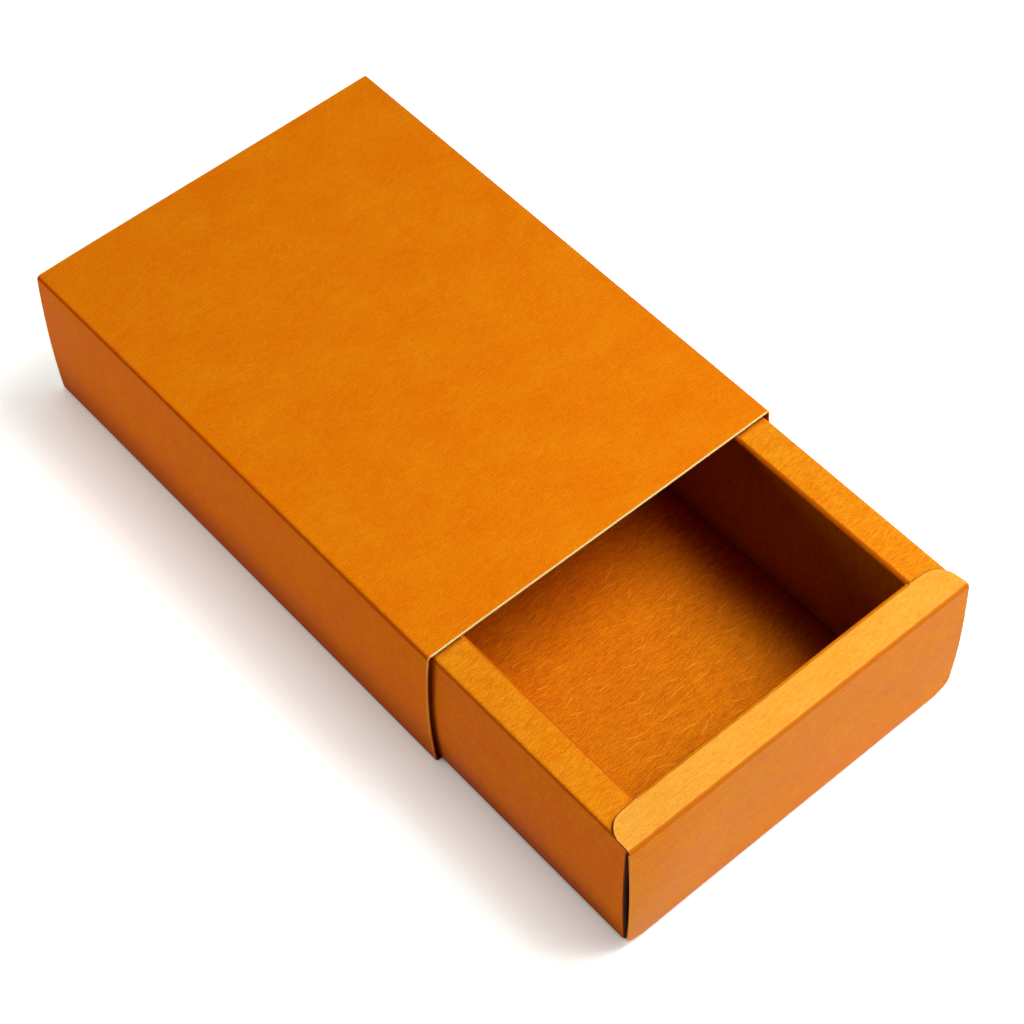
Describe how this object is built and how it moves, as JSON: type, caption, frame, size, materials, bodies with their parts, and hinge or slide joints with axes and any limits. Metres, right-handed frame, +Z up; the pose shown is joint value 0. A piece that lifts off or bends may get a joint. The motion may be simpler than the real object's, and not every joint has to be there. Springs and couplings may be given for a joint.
{
  "type": "sliding drawer gift box",
  "caption": "Folded paperboard gift box: a shallow tray with hollow double walls and flat ledges slides in and out of a rectangular sleeve open at both ends.",
  "frame": {"origin": "centre of the sleeve's underside, on the surface that the box stands on", "axes": "+Z up, +Y along the box from the tray's front to the sleeve's back end, so the tray is drawn out towards -Y; +X to the right, seen from the tray's front"},
  "size_m": [0.1, 0.206, 0.042],
  "materials": {
    "sleeve_board": "orange kraft paperboard, matte, fine fibre grain",
    "tray_board": "orange kraft paperboard, matte, fine fibre grain",
    "tray_inside": "orange-brown kraft paperboard with streaky fibres, matte"
  },
  "bodies": {
    "sleeve": {"sleeve_top_panel": "sleeve_board", "sleeve_left_panel": "sleeve_board", "sleeve_right_panel": "sleeve_board", "sleeve_bottom_panel": "sleeve_board", "sleeve_glue_flap": "sleeve_board"},
    "tray": {"tray_base_panel": "tray_inside", "tray_left_outer_wall": "tray_board", "tray_left_ledge": "tray_board", "tray_left_inner_wall": "tray_inside", "tray_left_foot_flap": "tray_inside", "tray_right_outer_wall": "tray_board", "tray_right_ledge": "tray_board", "tray_right_inner_wall": "tray_inside", "tray_right_foot_flap": "tray_inside", "tray_front_outer_wall": "tray_board", "tray_front_ledge": "tray_board", "tray_front_inner_wall": "tray_inside", "tray_back_outer_wall": "tray_board", "tray_back_ledge": "tray_board", "tray_back_inner_wall": "tray_inside", "tray_front_left_corner_flap": "tray_inside", "tray_front_right_corner_flap": "tray_inside", "tray_back_left_corner_flap": "tray_inside", "tray_back_right_corner_flap": "tray_inside"}
  },
  "joints": [
    {"name": "tray_slide", "type": "slide", "parent": "sleeve", "child": "tray", "axis": [0, -1, 0], "range_m": [-0.062, 0.082]}
  ]
}
